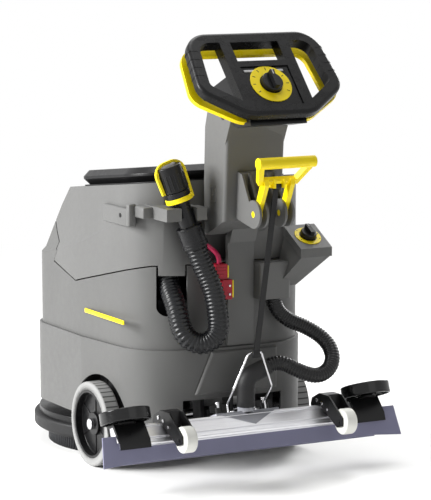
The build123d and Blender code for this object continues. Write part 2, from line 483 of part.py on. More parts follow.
# ---- lever bracket, lift lever and strap ---------------------------------------------------------
def column_rear(z):
    (y0, z0), (y1, z1) = COLUMN_SIDE[6], COLUMN_SIDE[5]
    return y0 + (z - z0) * (y1 - y0) / (z1 - z0)


EAR_Z0, EAR_Z1 = 608.0, 714.0
ear_side = [(column_rear(EAR_Z0), EAR_Z0), (column_rear(EAR_Z1), EAR_Z1), (column_rear(EAR_Z1) - 20, EAR_Z1 - 4),
            (LEVER_Y + 18, LEVER_Z + 26), (LEVER_Y, LEVER_Z), (LEVER_Y + 8, LEVER_Z - EAR_R + 1)]
EAR_OUT = EAR_IN + EAR_T
ears = prism_x([(column_rear(EAR_Z0), EAR_Z0), (column_rear(EAR_Z1), EAR_Z1), (column_rear(EAR_Z1) - 5, EAR_Z1),
                (column_rear(EAR_Z0) - 5, EAR_Z0)], -EAR_OUT, EAR_OUT)
for side in (-1, 1):
    ear = prism_x(ear_side, *sorted((side * EAR_IN, side * EAR_OUT)))
    ear += rod_x(side * EAR_IN, side * EAR_OUT, LEVER_Y, LEVER_Z, EAR_R)
    ears += ear
    leg_in, leg_out = LEG_X - LEG_T / 2 - 1, LEG_X + LEG_T / 2 + 1
    ears -= box(*sorted((side * leg_in, side * leg_out)), -500, column_rear(EAR_Z0) - 24, 560, 760)
ears -= rod_x(-60, 60, LEVER_Y, LEVER_Z, LEVER_PIN_R + RUN_FIT)

BAR_Y, BAR_Z, GRIP_Y, GRIP_Z = -435.0, 703.0, -475.0, 747.0
BAR_HALF, GRIP_HALF, GRIP_R = 50.0, 72.0, 13.0
lever_slope = math.degrees(math.atan2(GRIP_Z - BAR_Z, BAR_Y - GRIP_Y))
lean = math.radians(lever_slope)
d_frame = Plane(origin=(0, BAR_Y, BAR_Z), x_dir=(1, 0, 0), z_dir=(0, -math.sin(lean), -math.cos(lean)))
rise = math.hypot(GRIP_Z - BAR_Z, GRIP_Y - BAR_Y)
d_face = make_face(Polyline((-BAR_HALF, -8), (BAR_HALF, -8), (GRIP_HALF, rise - 4), (GRIP_HALF, rise), (-GRIP_HALF, rise),
                            (-GRIP_HALF, rise - 4), close=True))
d_face -= make_face(Polyline((-BAR_HALF + 8, 5), (BAR_HALF - 8, 5), (GRIP_HALF - 15, rise - 6), (-GRIP_HALF + 15, rise - 6),
                             close=True))
lever = extrude(d_frame.offset(-7) * d_face, 14) + rod_x(-GRIP_HALF, GRIP_HALF, GRIP_Y + 2, GRIP_Z - 1, GRIP_R)
HOOK_R = 5.0
for side in (-1, 1):
    leg_x = sorted((side * (LEG_X - LEG_T / 2), side * (LEG_X + LEG_T / 2)))
    lever += prism_x([(LEVER_Y - 9, LEVER_Z), (LEVER_Y + 9, LEVER_Z), (BAR_Y + 10, BAR_Z - 4), (BAR_Y - 8, BAR_Z + 4),
                      (BAR_Y - 10, BAR_Z - 10)], *leg_x)
    lever += rod_x(leg_x[0], leg_x[1], LEVER_Y, LEVER_Z, 13)
    lever += rod_x(side * (EAR_IN + 0.5), side * (EAR_OUT - 0.5), LEVER_Y, LEVER_Z, LEVER_PIN_R)
lever -= rod_x(-9.5, 9.5, *STRAP_TOP, HOOK_R + 6)
lever += rod_x(-15, 15, *STRAP_TOP, HOOK_R) + box(-15, -9.5, -444, STRAP_TOP[0] + 5, 686, 705)
lever += box(9.5, 15, -444, STRAP_TOP[0] + 5, 686, 705)

strap_dir = (Vector(0, *STRAP_END) - Vector(0, *STRAP_TOP)).normalized()
strap_len = (Vector(0, *STRAP_END) - Vector(0, *STRAP_TOP)).length
strap_plane = Plane(origin=(0, *STRAP_TOP), x_dir=(1, 0, 0), z_dir=strap_dir)
strap = extrude(strap_plane.offset(HOOK_R + 1) * Rectangle(STRAP_W, STRAP_T), strap_len - HOOK_R - 1)
EYE_W = 17.0
eye = rod_x(-EYE_W / 2, EYE_W / 2, *STRAP_TOP, HOOK_R + 4) - rod_x(-20, 20, *STRAP_TOP, HOOK_R + RUN_FIT)
strap = (strap + eye) - rod_x(-20, 20, *STRAP_TOP, HOOK_R + RUN_FIT)


# ---- squeegee: drawn on the floor, then lifted about its pivot ------------------------------------
def lifted(shape):
    return Pos(0, LIFT_Y, LIFT_Z) * Rot(-LIFT_ANGLE, 0, 0) * Pos(0, -LIFT_Y, -LIFT_Z) * shape


def lifted_point(x, y, z):
    return tuple(lifted(Pos(x, y, z) * Box(1, 1, 1)).center())


PLATE_Z = BEAM_Z1
ARM_Z0, ARM_Z1 = PLATE_Z + PLATE_T + 1, PLATE_Z + PLATE_T + 13
arm = box(-30, 30, SWING_Y - 18, LIFT_Y, ARM_Z0, ARM_Z1) + rod_x(-LUG_X + 0.5, LUG_X - 0.5, LIFT_Y, LIFT_Z, 14)
arm += box(-30, 30, LIFT_Y - 30, LIFT_Y, ARM_Z0, LIFT_Z)
arm -= rod_x(-50, 50, LIFT_Y, LIFT_Z, LIFT_PIN_R + RUN_FIT)
arm += rod_z(0, SWING_Y, PLATE_Z - 8, ARM_Z0, SWING_PIN_R)
plate = prism_z([(-34, SWING_Y + 16), (34, SWING_Y + 16), (82, BEAM_FRONT + 8), (82, BEAM_TOP_REAR), (-82, BEAM_TOP_REAR),
                 (-82, BEAM_FRONT + 8)], PLATE_Z, PLATE_Z + PLATE_T)
plate -= rod_z(0, SWING_Y, PLATE_Z - 1, PLATE_Z + PLATE_T + 1, SWING_PIN_R + RUN_FIT)
beam_face = math.atan2(BEAM_Z1 - 54, BEAM_TOP_REAR - BEAM_REAR)
slope_plane = Plane(origin=(0, BEAM_TOP_REAR, BEAM_Z1), x_dir=(1, 0, 0),
                    z_dir=(0, -math.sin(beam_face), math.cos(beam_face)))
plate += extrude(slope_plane * make_face(Polyline((-74, 2), (74, 2), (8, -32), close=True)), 2)
beam = prism_x([(BEAM_REAR, BEAM_Z0), (BEAM_REAR, 54), (BEAM_TOP_REAR, BEAM_Z1), (BEAM_FRONT, BEAM_Z1),
                (BEAM_FRONT, BEAM_Z0)], -BEAM_HALF, BEAM_HALF)
beam += rod_x(-BEAM_HALF, BEAM_HALF, BEAM_REAR - 1, BEAM_Z0 + 6, 4)
for blade_y in (REAR_BLADE_Y, FRONT_BLADE_Y):
    half = BLADE_T / 2 + 0.05
    beam -= box(-BEAM_HALF - 10, BEAM_HALF + 10, blade_y - half, blade_y + half, BEAM_Z0 - 1, BEAM_Z0 + SLOT_DEPTH)
MOUTH_Y, MOUTH_R = -289.0, 19.0
mouth_hole = rod_z(0, MOUTH_Y, BEAM_Z0 - 1, 140, 9)
beam -= mouth_hole
END_Z, FLAP_X = 70.0, 312.0
rear_blade = prism_y([(-SQ_HALF, 0), (-FLAP_X, BLADE_LIP), (FLAP_X, BLADE_LIP), (SQ_HALF, 0), (SQ_HALF - 8, END_Z),
                      (BEAM_HALF + 3, END_Z), (BEAM_HALF + 3, BEAM_Z0 + SLOT_DEPTH), (-BEAM_HALF - 3, BEAM_Z0 + SLOT_DEPTH),
                      (-BEAM_HALF - 3, END_Z), (-SQ_HALF + 8, END_Z)],
                     REAR_BLADE_Y - BLADE_T / 2, REAR_BLADE_Y + BLADE_T / 2)
front_blade = box(-BEAM_HALF + 12, BEAM_HALF - 12, FRONT_BLADE_Y - BLADE_T / 2, FRONT_BLADE_Y + BLADE_T / 2,
                  BLADE_LIP, BEAM_Z0 + SLOT_DEPTH)
STUB_LEAN, STUB_LEN, NOZZLE_UP = 22.0, 34.0, 12.0      # the pipe stub leans to the rear


def along_stub(length):
    lean = math.radians(STUB_LEAN)
    return (0, MOUTH_Y - length * math.sin(lean), PLATE_Z + PLATE_T + length * math.cos(lean))


plate += rod_between(along_stub(-4), along_stub(STUB_LEN), MOUTH_R) & box(-50, 50, -400, 0, PLATE_Z + 1, 300)
plate -= rod_between(along_stub(-2), along_stub(STUB_LEN + 5), MOUTH_R - 2) + mouth_hole
YOKE_X, YOKE_Y = 49.0, -296.0
for side in (-1, 1):
    plate -= rod_z(side * YOKE_X, YOKE_Y, PLATE_Z - 1, 110, WIRE_R)

PUCK_PIN_R = 8.0
brackets, pucks, forks, rollers, nuts_wing, bolts = [], [], [], [], [], []
for side in (-1, 1):
    x0, x1 = sorted((side * 270, side * (BEAM_HALF + 2.5)))
    shell = prism_x([(BEAM_REAR - 6, 36), (BEAM_REAR - 6, 56), (BEAM_TOP_REAR - 6, BEAM_Z1 + 6), (BEAM_FRONT + 6, BEAM_Z1 + 6),
                     (BEAM_FRONT + 6, 36), (BEAM_FRONT, 36), (BEAM_FRONT, BEAM_Z1), (BEAM_TOP_REAR, BEAM_Z1),
                     (BEAM_REAR, 54), (BEAM_REAR, 52), (BEAM_REAR - 5.2, 52), (BEAM_REAR - 5.2, 36)], x0, x1)
    base = rod_z(side * PUCK_X, PUCK_Y, BEAM_Z1 + 3, PUCK_Z - 0.5, 22)
    shell += base - box(*sorted((0, side * 2 * BEAM_HALF)), BEAM_TOP_REAR, 0, 0, BEAM_Z1 + 6)
    shell += rod_z(side * PUCK_X, PUCK_Y, BEAM_Z1 + 4, PUCK_Z + PUCK_H - 4, PUCK_PIN_R)
    brackets.append(lifted(shell))
    puck = rod_z(side * PUCK_X, PUCK_Y, PUCK_Z, PUCK_Z + PUCK_H, PUCK_R)
    puck = fillet(puck.edges(), 3)
    puck -= ring_z(side * PUCK_X, PUCK_Y, PUCK_Z - 1, PUCK_Z + PUCK_H - 7, PUCK_R - 6, 17)
    for turn in range(6):
        spoke = Pos(side * PUCK_X, PUCK_Y, PUCK_Z + PUCK_H / 2) * Rot(0, 0, 60 * turn) * Pos(34, 0, 0)
        puck += spoke * Box(40, 4, PUCK_H - 4)
    puck -= rod_z(side * PUCK_X, PUCK_Y, PUCK_Z - 1, PUCK_Z + PUCK_H - 3, PUCK_PIN_R + RUN_FIT)
    pucks.append(lifted(puck))
    mid, half = side * ROLLER_X, ROLLER_W / 2 + 0.6
    fork = prism_x([(BEAM_FRONT + 12, 66), (BEAM_FRONT + 0.5, 66), (BEAM_FRONT + 0.5, BEAM_Z1), (BEAM_TOP_REAR - 4, BEAM_Z1),
                    (-331, 62), (-350, 42), (-364, 27), (-388, 26), (-394, 44), (-350, 104), (-310, 118), (-274, 114),
                    (BEAM_FRONT + 12, 102)], mid - half - 4, mid + half + 4)
    fork -= box(mid - half, mid + half, -430, -338, 0, 130)
    fork -= rod_x(mid - half, mid + half, ROLLER_Y, ROLLER_Z, ROLLER_R + 3)
    fork += rod_x(mid - half - 6, mid + half + 6, ROLLER_Y, ROLLER_Z, 4)
    forks.append(lifted(fork))
    roller = rod_x(mid - ROLLER_W / 2, mid + ROLLER_W / 2, ROLLER_Y, ROLLER_Z, ROLLER_R)
    roller = fillet(roller.edges(), 5) - rod_x(mid - 30, mid + 30, ROLLER_Y, ROLLER_Z, 4 + RUN_FIT)
    rollers.append(lifted(roller))
    top = PLATE_Z + PLATE_T
    bolts.append(lifted(rod_z(side * STUD_X, STUD_Y, top, top + 30, STUD_R)))
    bolts.append(lifted(rod_z(side * (STUD_X - 30), BEAM_FRONT - 3, top, top + 5, 6)))
    wing = rod_z(side * STUD_X, STUD_Y, top + 0.5, top + 16, 11)
    wing += box(side * STUD_X - 21, side * STUD_X + 21, STUD_Y - 3, STUD_Y + 3, top + 7, top + 24)
    nuts_wing.append(lifted(wing - rod_z(side * STUD_X, STUD_Y, top - 1, top + 40, STUD_R + RUN_FIT)))

# lift yoke: a bent wire with its feet in the plate and its top bar under the strap's end
wire_path = [lifted_point(-YOKE_X, YOKE_Y, PLATE_Z + 0.5), lifted_point(-YOKE_X, YOKE_Y, PLATE_Z + 24),
             (-50, -322, 214), (-17, -332, 296), (17, -332, 296), (50, -322, 214),
             lifted_point(YOKE_X, YOKE_Y, PLATE_Z + 24), lifted_point(YOKE_X, YOKE_Y, PLATE_Z + 0.5)]
yoke_path = FilletPolyline(*wire_path, radius=8)
yoke = sweep(Plane(origin=wire_path[0], z_dir=Vector(*wire_path[1]) - Vector(*wire_path[0])) * Circle(WIRE_R),
             path=yoke_path)

ELBOW_R = 21.0
NOZZLE_END = (52.0, -301.0, 256.0)
elbow_points = [lifted_point(*along_stub(NOZZLE_UP)), lifted_point(*along_stub(NOZZLE_UP + 68)), NOZZLE_END]
elbow_path = FilletPolyline(*elbow_points, radius=32)
elbow_start = Plane(origin=elbow_points[0], z_dir=Vector(*elbow_points[1]) - Vector(*elbow_points[0]))
elbow = sweep(elbow_start * Circle(ELBOW_R), path=elbow_path)
elbow_bore = sweep(elbow_start * Circle(MOUTH_R - 2), path=elbow_path)
elbow -= elbow_bore
elbow -= lifted(rod_between(along_stub(0), along_stub(STUB_LEN), MOUTH_R))

# ---- the two hoses -------------------------------------------------------------------------------
drain_route = [(-142, -160, 488), (-145, -184, 440), (-149, -239, 397), (-141, -268, 322), (-79, -292, 318),
               (-74, -290, 392), (-82, -281, 448), along_drain(496), along_drain(540)]
drain_hose = route_tube("drain hose", drain_route, DRAIN_D)
upper -= rod_between(drain_route[0], drain_route[1], DRAIN_D / 2)
nozzle_dir = (Vector(*NOZZLE_END) - Vector(*elbow_points[1])).normalized()
suction_route = [(HOSE_OUT[0], HOSE_OUT[1], 424), (HOSE_OUT[0], HOSE_OUT[1], 388), (126, -254, 352), (174, -272, 332),
                 (206, -302, 305), (213, -326, 272), (196, -340, 243), (158, -346, 228), (118, -332, 243),
                 tuple(Vector(*NOZZLE_END) + 28 * nozzle_dir), NOZZLE_END]
suction_hose = route_tube("suction hose", suction_route, SUCTION_D)

# ---- float strainer hung in the dirty-water tank --------------------------------------------------
strainer = extrude(lid_frame.offset(-80) * (Pos(70, -90) * Circle(34)), 80 + SEAL_T + LID_T - 8)
strainer -= extrude(lid_frame.offset(-76) * (Pos(70, -90) * Circle(31)), 76 + SEAL_T + LID_T - 9)

for name, shapes in {
    "chassis_frame": [frame], "lower_tank": [lower], "rear_cover": [rear_cover], "control_column": [column],
    "bright_fasteners": screws + nuts, "handle_ring": [handle * ring], "hand_grips": [grips], "control_panel": [handle * panel],
    "head_shell": [head], "scale_rings": scale_rings, "program_knob": [program_knob], "deadman_bail": [bail],
    "dosing_housing": [dosing], "dosing_knob": [dosing_knob], "lever_bracket": [ears], "lift_lever": [lever],
    "lift_strap": [strap], "wire_yoke": [yoke], "wheel_axle": [axle],
    "left_wheel_rim": [rims[0]], "left_wheel_tyre": [tyres[0]], "right_wheel_rim": [rims[1]],
    "right_wheel_tyre": [tyres[1]], "brush_deck": [deck], "deck_bumper": [bumper], "brush_motor": [motor],
    "brush_disc": [disc], "brush_bristles": [bristles], "battery_pack": batteries, "suction_turbine": [turbine],
    "water_filter": [water_filter], "filler_cap": [filler_cap], "battery_plug_lower": [plug_low],
    "battery_plug_upper": [plug_top], "battery_cables": cables, "upper_tank": [upper], "hose_hook": [hook],
    "drain_hose": [drain_hose], "drain_tube": [drain_tube], "drain_cap": [cap], "cap_strap": [cap_strap],
    "tank_lid": [lid], "lid_seal": [seal], "float_strainer": [strainer], "squeegee_arm": [lifted(arm)],
    "squeegee_plate": [lifted(plate)], "squeegee_beam": [lifted(beam)], "rear_blade": [lifted(rear_blade)],
    "front_blade": [lifted(front_blade)], "end_brackets": brackets, "left_bumper_disc": [pucks[0]],
    "right_bumper_disc": [pucks[1]], "roller_forks": forks, "left_roller": [rollers[0]], "right_roller": [rollers[1]],
    "squeegee_bolts": bolts, "left_wing_nut": [nuts_wing[0]], "right_wing_nut": [nuts_wing[1]],
    "suction_nozzle": [elbow], "suction_hose": [suction_hose],
}.items():
    save(name, *shapes)

for name, shape in parts.items():
    export_step(shape, f"parts/{name}.step")
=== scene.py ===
import bpy, bmesh, math
from mathutils import Matrix, Vector


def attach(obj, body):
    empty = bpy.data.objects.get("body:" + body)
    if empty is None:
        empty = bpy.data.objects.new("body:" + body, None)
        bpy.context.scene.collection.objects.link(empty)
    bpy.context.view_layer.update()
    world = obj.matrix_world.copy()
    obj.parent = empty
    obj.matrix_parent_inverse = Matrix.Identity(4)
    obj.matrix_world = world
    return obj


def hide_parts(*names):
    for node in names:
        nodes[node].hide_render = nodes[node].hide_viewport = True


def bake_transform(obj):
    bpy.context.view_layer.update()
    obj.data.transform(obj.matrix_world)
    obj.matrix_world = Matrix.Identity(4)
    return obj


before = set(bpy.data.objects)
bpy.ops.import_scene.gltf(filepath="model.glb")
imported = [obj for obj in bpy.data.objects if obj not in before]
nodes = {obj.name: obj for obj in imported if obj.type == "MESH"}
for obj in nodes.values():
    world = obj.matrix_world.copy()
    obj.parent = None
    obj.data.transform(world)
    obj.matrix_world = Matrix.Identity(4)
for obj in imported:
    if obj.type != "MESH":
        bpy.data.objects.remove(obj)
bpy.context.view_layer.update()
scene = bpy.context.scene

# ---- camera --------------------------------------------------------------------------------------
# A long lens behind and to the left of the machine, a little above hip height.
camera_data = bpy.data.cameras.new("camera")
camera_data.lens, camera_data.clip_end = 183.9, 60
camera = bpy.data.objects.new("camera", camera_data)
camera.location = (-2.810, -5.335, 1.350)
aim = Vector((0.1252, 0.088, 0.4723)) - camera.location
camera.rotation_euler = aim.to_track_quat("-Z", "Y").to_euler()
scene.collection.objects.link(camera)
scene.camera = camera
scene.view_settings.view_transform = "Standard"


# ---- studio --------------------------------------------------------------------------------------
# A round pale floor that fades into a white surround a few metres out, with one broad soft lamp on
# the machine's left side and weaker ones above, in front and behind.
def linear(code):
    """An sRGB hex colour as linear RGBA."""
    parts = [int(code[i:i + 2], 16) / 255 for i in (0, 2, 4)]
    return tuple(c / 12.92 if c <= 0.04045 else ((c + 0.055) / 1.055) ** 2.4 for c in parts) + (1.0,)


def add(tree, kind, links=(), values=(), **settings):
    """A shader node with its settings, its values by socket number, and its incoming links."""
    node = tree.nodes.new(kind)
    for key, value in settings.items():
        if hasattr(node, key):
            setattr(node, key, value)
        else:
            node.inputs[key.replace("_", " ")].default_value = value
    for socket, value in dict(values).items():
        node.inputs[socket].default_value = value
    for socket, source in links:
        tree.links.new(source, node.inputs[socket])
    return node


def new_material(name):
    """An empty material and its node tree."""
    material = bpy.data.materials.new(name)
    material.use_nodes = True
    material.node_tree.nodes.clear()
    return material, material.node_tree


def piece_from(bm, name, material, smooth=True):
    """A finished piece: doubles merged, faces outwards, one material."""
    bmesh.ops.remove_doubles(bm, verts=bm.verts, dist=1e-6)
    bmesh.ops.recalc_face_normals(bm, faces=bm.faces)
    for face in bm.faces:
        face.smooth = smooth
    mesh = bpy.data.meshes.new(name)
    bm.to_mesh(mesh)
    bm.free()
    mesh.materials.append(material)
    piece = bpy.data.objects.new(name, mesh)
    scene.collection.objects.link(piece)
    return piece


# Matt off-white paint, faintly cloudy; it turns into plain light between the two fade radii.
FLOOR_R, FADE_IN, FADE_OUT = 5.0, 1.0, 3.6        # metres
FLOOR_CLOUD_MM = 666.7
floor_material, tree = new_material("painted_floor")
place = add(tree, "ShaderNodeTexCoord")
cloud = add(tree, "ShaderNodeTexNoise", [("Vector", place.outputs["Object"])],
            Scale=1000 / FLOOR_CLOUD_MM, Detail=3)
tint = add(tree, "ShaderNodeMix", [("Factor", cloud.outputs["Fac"])],
           {6: linear("F4F4F3"), 7: linear("FBFBFA")}, data_type="RGBA")
paint = add(tree, "ShaderNodeBsdfPrincipled", [("Base Color", tint.outputs[2])], Roughness=0.7)
glow = add(tree, "ShaderNodeEmission", Color=(1, 1, 1, 1), Strength=1.0)
far = add(tree, "ShaderNodeVectorMath", [(0, place.outputs["Object"])], operation="LENGTH")
fade = add(tree, "ShaderNodeMapRange", [("Value", far.outputs["Value"])],
           interpolation_type="SMOOTHSTEP", From_Min=FADE_IN, From_Max=FADE_OUT)
surface = add(tree, "ShaderNodeMixShader",
              [(0, fade.outputs[0]), (1, paint.outputs[0]), (2, glow.outputs[0])])
add(tree, "ShaderNodeOutputMaterial", [("Surface", surface.outputs[0])])
bm = bmesh.new()
bmesh.ops.create_circle(bm, cap_ends=True, segments=96, radius=FLOOR_R)
floor = piece_from(bm, "floor", floor_material)

# The surround is white to the camera and in reflections, and dim as a light, so that the lamps model.
DIM, WHITE = 0.18, 1.0
world = bpy.data.worlds.new("surround")
world.use_nodes = True
scene.world = world
world.node_tree.nodes.clear()
ray = add(world.node_tree, "ShaderNodeLightPath")
shown = add(world.node_tree, "ShaderNodeMath",
            [(0, ray.outputs["Is Camera Ray"]), (1, ray.outputs["Is Glossy Ray"])], operation="MAXIMUM")
seen = add(world.node_tree, "ShaderNodeMix", [("Factor", shown.outputs[0])],
           data_type="FLOAT", A=DIM, B=WHITE)
sky = add(world.node_tree, "ShaderNodeBackground", [("Strength", seen.outputs[0])], Color=(1, 1, 1, 1))
add(world.node_tree, "ShaderNodeOutputWorld", [("Surface", sky.outputs[0])])
LOOK_AT = Vector((0, 0, 0.5))
for name, spot, size, power in (                  # place and width in metres, power in watts
        ("key", (-4.4, 0.9, 2.2), 2.4, 520), ("top", (0.5, 0.8, 4.2), 3.0, 120),
        ("fill", (0.6, -5.0, 2.2), 3.0, 16), ("rim", (4.0, 2.2, 2.4), 2.0, 130)):
    lamp = bpy.data.lights.new(name, "AREA")
    lamp.energy, lamp.size = power, size
    holder = bpy.data.objects.new(name, lamp)
    holder.location = spot
    holder.rotation_euler = (LOOK_AT - holder.location).to_track_quat("-Z", "Y").to_euler()
    scene.collection.objects.link(holder)


# ---- drain hose ----------------------------------------------------------------------------------
# A stiff corrugated PVC hose, 50 mm across, that drains the dirty-water tank. It leaves the tank
# through a slot in the rear wall, turns back up and ends in a rigid tube held by the tank's hook.
CLOUD_MM, SCUFF_MM = 111.1, 16.67         # how far apart patches of colour and of wear are


def moulded(name, dark, light, roughness, grain_mm=1.2, relief=0.12, shine=0.32):
    """A moulded plastic or rubber: slightly cloudy colour, even fine grain, scuffed sheen.

    The grain is drawn coarser than a mould's real grain, so that it shows."""
    material, tree = new_material(name)
    place = add(tree, "ShaderNodeTexCoord")
    spot = place.outputs["Object"]
    cloud = add(tree, "ShaderNodeTexNoise", [("Vector", spot)], Scale=1000 / CLOUD_MM, Detail=5)
    scuff = add(tree, "ShaderNodeTexNoise", [("Vector", spot)], Scale=1000 / SCUFF_MM, Detail=6,
                Roughness=0.7)
    grain = add(tree, "ShaderNodeTexNoise", [("Vector", spot)], Scale=1000 / grain_mm, Detail=2)
    skin = add(tree, "ShaderNodeBump", [("Height", grain.outputs["Fac"])], Strength=relief, Distance=0.001)
    gloss = add(tree, "ShaderNodeMapRange", [("Value", scuff.outputs["Fac"])], From_Min=0.3, From_Max=0.7,
                To_Min=roughness - 0.06, To_Max=roughness + 0.08)
    tint = add(tree, "ShaderNodeMix", [("Factor", cloud.outputs["Fac"])],
               {6: linear(dark), 7: linear(light)}, data_type="RGBA")
    shader = add(tree, "ShaderNodeBsdfPrincipled",
                 [("Base Color", tint.outputs[2]), ("Normal", skin.outputs[0]),
                  ("Roughness", gloss.outputs[0])], IOR=1.5, Specular_IOR_Level=shine)
    add(tree, "ShaderNodeOutputMaterial", [("Surface", shader.outputs[0])])
    return material


def centre_line(name, points):
    """A smooth NURBS line through the route, as closely set points."""
    line = bpy.data.curves.new(name, "CURVE")
    line.dimensions, line.resolution_u = "3D", 48
    spline = line.splines.new("NURBS")
    spline.points.add(len(points) - 1)
    for point, place in zip(spline.points, points):
        point.co = (*place, 1)
    spline.order_u = 3
    spline.use_endpoint_u = True
    holder = bpy.data.objects.new(name, line)
    mesh = bpy.data.meshes.new_from_object(holder)
    path = [v.co.copy() for v in mesh.vertices]
    bpy.data.objects.remove(holder)
    return path


def spaced(path, step):
    """Points along a path at a steady distance, with the length of the whole."""
    reach = [0.0]
    for a, b in zip(path, path[1:]):
        reach.append(reach[-1] + (b - a).length)
    count = max(2, round(reach[-1] / step))
    found, k = [], 0
    for i in range(count + 1):
        want = reach[-1] * i / count
        while k < len(path) - 2 and reach[k + 1] < want:
            k += 1
        found.append(path[k].lerp(path[k + 1], (want - reach[k]) / (reach[k + 1] - reach[k])))
    return found, reach[-1]


def ribbed_hose(name, points, diameter, pitch, depth, material, sides=40):
    """A hose swept along its route, with ribs of the given pitch and depth."""
    path = centre_line(name + "_line", points)
    stations, length = spaced(path, pitch / 4)
    bm = bmesh.new()
    turn = Vector((0, 0, 1)).rotation_difference(stations[1] - stations[0])
    loops, last = [], stations[1] - stations[0]
    for i, centre in enumerate(stations):
        ahead = stations[min(i + 1, len(stations) - 1)] - stations[max(i - 1, 0)]
        turn = last.rotation_difference(ahead) @ turn
        last = ahead
        radius = diameter / 2 - (depth, depth * 0.25, 0.0, depth * 0.25)[i % 4]
        place = Matrix.Translation(centre) @ turn.to_matrix().to_4x4()
        ring = bmesh.ops.create_circle(bm, segments=sides, radius=radius, matrix=place,
                                       cap_ends=i in (0, len(stations) - 1))
        loops.append(list({e for v in ring["verts"] for e in v.link_edges}))
    for near, far in zip(loops, loops[1:]):
        bmesh.ops.bridge_loops(bm, edges=near + far)
    return piece_from(bm, name, material), path, length


DRAIN_D, DRAIN_PITCH, DRAIN_RIB = 0.050, 0.0092, 0.0034
drain_low, drain_top = Vector((-0.116, -0.266, 0.538)), Vector((-0.166, -0.250, 0.690))    # of the tube
drain_axis = (drain_top - drain_low) / 0.152              # per metre of the tube's height
drain_points = [(-0.142, -0.160, 0.488), (-0.145, -0.184, 0.440), (-0.151, -0.236, 0.400),
                (-0.149, -0.262, 0.3365), (-0.110, -0.280, 0.3130), (-0.071, -0.292, 0.3365),
                (-0.073, -0.290, 0.392), (-0.082, -0.281, 0.448),
                tuple(drain_low - 0.042 * drain_axis), tuple(drain_low + 0.002 * drain_axis)]
# Plasticised PVC, corrugated hot: charcoal, with a soft even sheen along each rib.
drain_pvc = moulded("soft_pvc_charcoal", "121315", "18191B", 0.27, 2.0, 0.05, 0.28)
drain_hose, drain_path, drain_length = ribbed_hose("drain_hose_ribbed", drain_points, DRAIN_D,
                                                   DRAIN_PITCH, DRAIN_RIB, drain_pvc)
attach(drain_hose, "dirty_water_tank")
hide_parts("drain_hose")

# ---- suction hose --------------------------------------------------------------------------------
# A 36 mm corrugated hose from the socket under the rear block to the squeegee's nozzle. Its loop
# gives it room to follow the squeegee up and down.
SUCTION_D, SUCTION_PITCH, SUCTION_RIB = 0.036, 0.0064, 0.0022
suction_points = [(0.096, -0.246, 0.424), (0.096, -0.246, 0.388), (0.126, -0.254, 0.352),
                  (0.174, -0.272, 0.332), (0.206, -0.302, 0.305), (0.213, -0.326, 0.272),
                  (0.196, -0.340, 0.243), (0.158, -0.346, 0.228), (0.118, -0.332, 0.243),
                  (0.0772, -0.3054, 0.2673), (0.052, -0.301, 0.256)]
# Plasticised PVC again, blacker than the drain hose.
suction_pvc = moulded("soft_pvc_black", "0E0E0F", "131314", 0.27, 2.0, 0.05, 0.26)
suction_hose, suction_path, suction_length = ribbed_hose("suction_hose_ribbed", suction_points, SUCTION_D,
                                                         SUCTION_PITCH, SUCTION_RIB, suction_pvc)
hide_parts("suction_hose")
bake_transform(suction_hose)

# ---- battery cables ------------------------------------------------------------------------------
# Two thick stranded cables in smooth PVC: raspberry red from the upper plug, black from the lower one.
CABLE_D, CABLE_STEP = 0.011, 0.008        # the step is how closely the plain tube is sectioned
# Extruded PVC: smooth, evenly coloured, slightly glossy.
cable_red = moulded("smooth_pvc_raspberry", "A41C44", "B62650", 0.35, 1.5, 0.05)
cable_black = moulded("smooth_pvc_black", "131314", "1A1A1B", 0.45, 1.0, 0.1)
for name, material, points in (
        ("battery_cable_red", cable_red,
         [(-0.045, -0.244, 0.494), (-0.045, -0.244, 0.511), (-0.056, -0.228, 0.528),
          (-0.067, -0.205, 0.540)]),
        ("battery_cable_black", cable_black,
         [(-0.034, -0.247, 0.412), (-0.034, -0.247, 0.393), (-0.037, -0.240, 0.372),
          (-0.042, -0.218, 0.358)])):
    cable, path, length = ribbed_hose(name, points, CABLE_D, CABLE_STEP, 0.0, material, 20)
    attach(cable, "chassis")
    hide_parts("battery_cables")


# ---- lower tank and rear cover -------------------------------------------------------------------
# The body is one rotomoulded polyethylene shell, 5 mm thick, with rounded edges and a faint grain.
# It holds clean water and the batteries; a flat cover is screwed to it low on the rear.
SHARP, ALMOST_FLAT = 33, 0.6              # degrees: rounded above the first, one face below the second


def dress(node, material, edge_mm=0.0):
    """Gives a CAD part its material, and rounds its sharp edges as a mould or a file leaves them."""
    part = nodes[node]
    part.data.materials.clear()
    part.data.materials.append(material)
    for polygon in part.data.polygons:
        polygon.use_smooth = True
    weld = part.modifiers.new("weld", "WELD")
    weld.merge_threshold = 1e-5
    if edge_mm:
        flat = part.modifiers.new("flat", "DECIMATE")
        flat.decimate_type, flat.angle_limit = "DISSOLVE", math.radians(ALMOST_FLAT)
        edge = part.modifiers.new("edge", "BEVEL")
        edge.width, edge.segments, edge.limit_method = edge_mm / 1000, 2, "ANGLE"
        edge.angle_limit = math.radians(SHARP)
    shade = part.modifiers.new("shade", "WEIGHTED_NORMAL")
    shade.mode, shade.weight, shade.keep_sharp = "FACE_AREA", 50, False


def slab(bm, x, y, z, edge=0.0, place=Matrix(), segments=2):
    """A block with rounded edges, from its limits along the axes of its own frame."""
    made = bmesh.ops.create_cube(bm, size=1)["verts"]
    size = Matrix.Diagonal((x[1] - x[0], y[1] - y[0], z[1] - z[0], 1))
    middle = Vector((sum(x), sum(y), sum(z))) / 2
    bmesh.ops.transform(bm, verts=made, matrix=place @ Matrix.Translation(middle) @ size)
    if edge:
        bmesh.ops.bevel(bm, geom=list({e for v in made for e in v.link_edges}), offset=edge, affect="EDGES",
                        segments=segments, profile=0.5, material=-1)


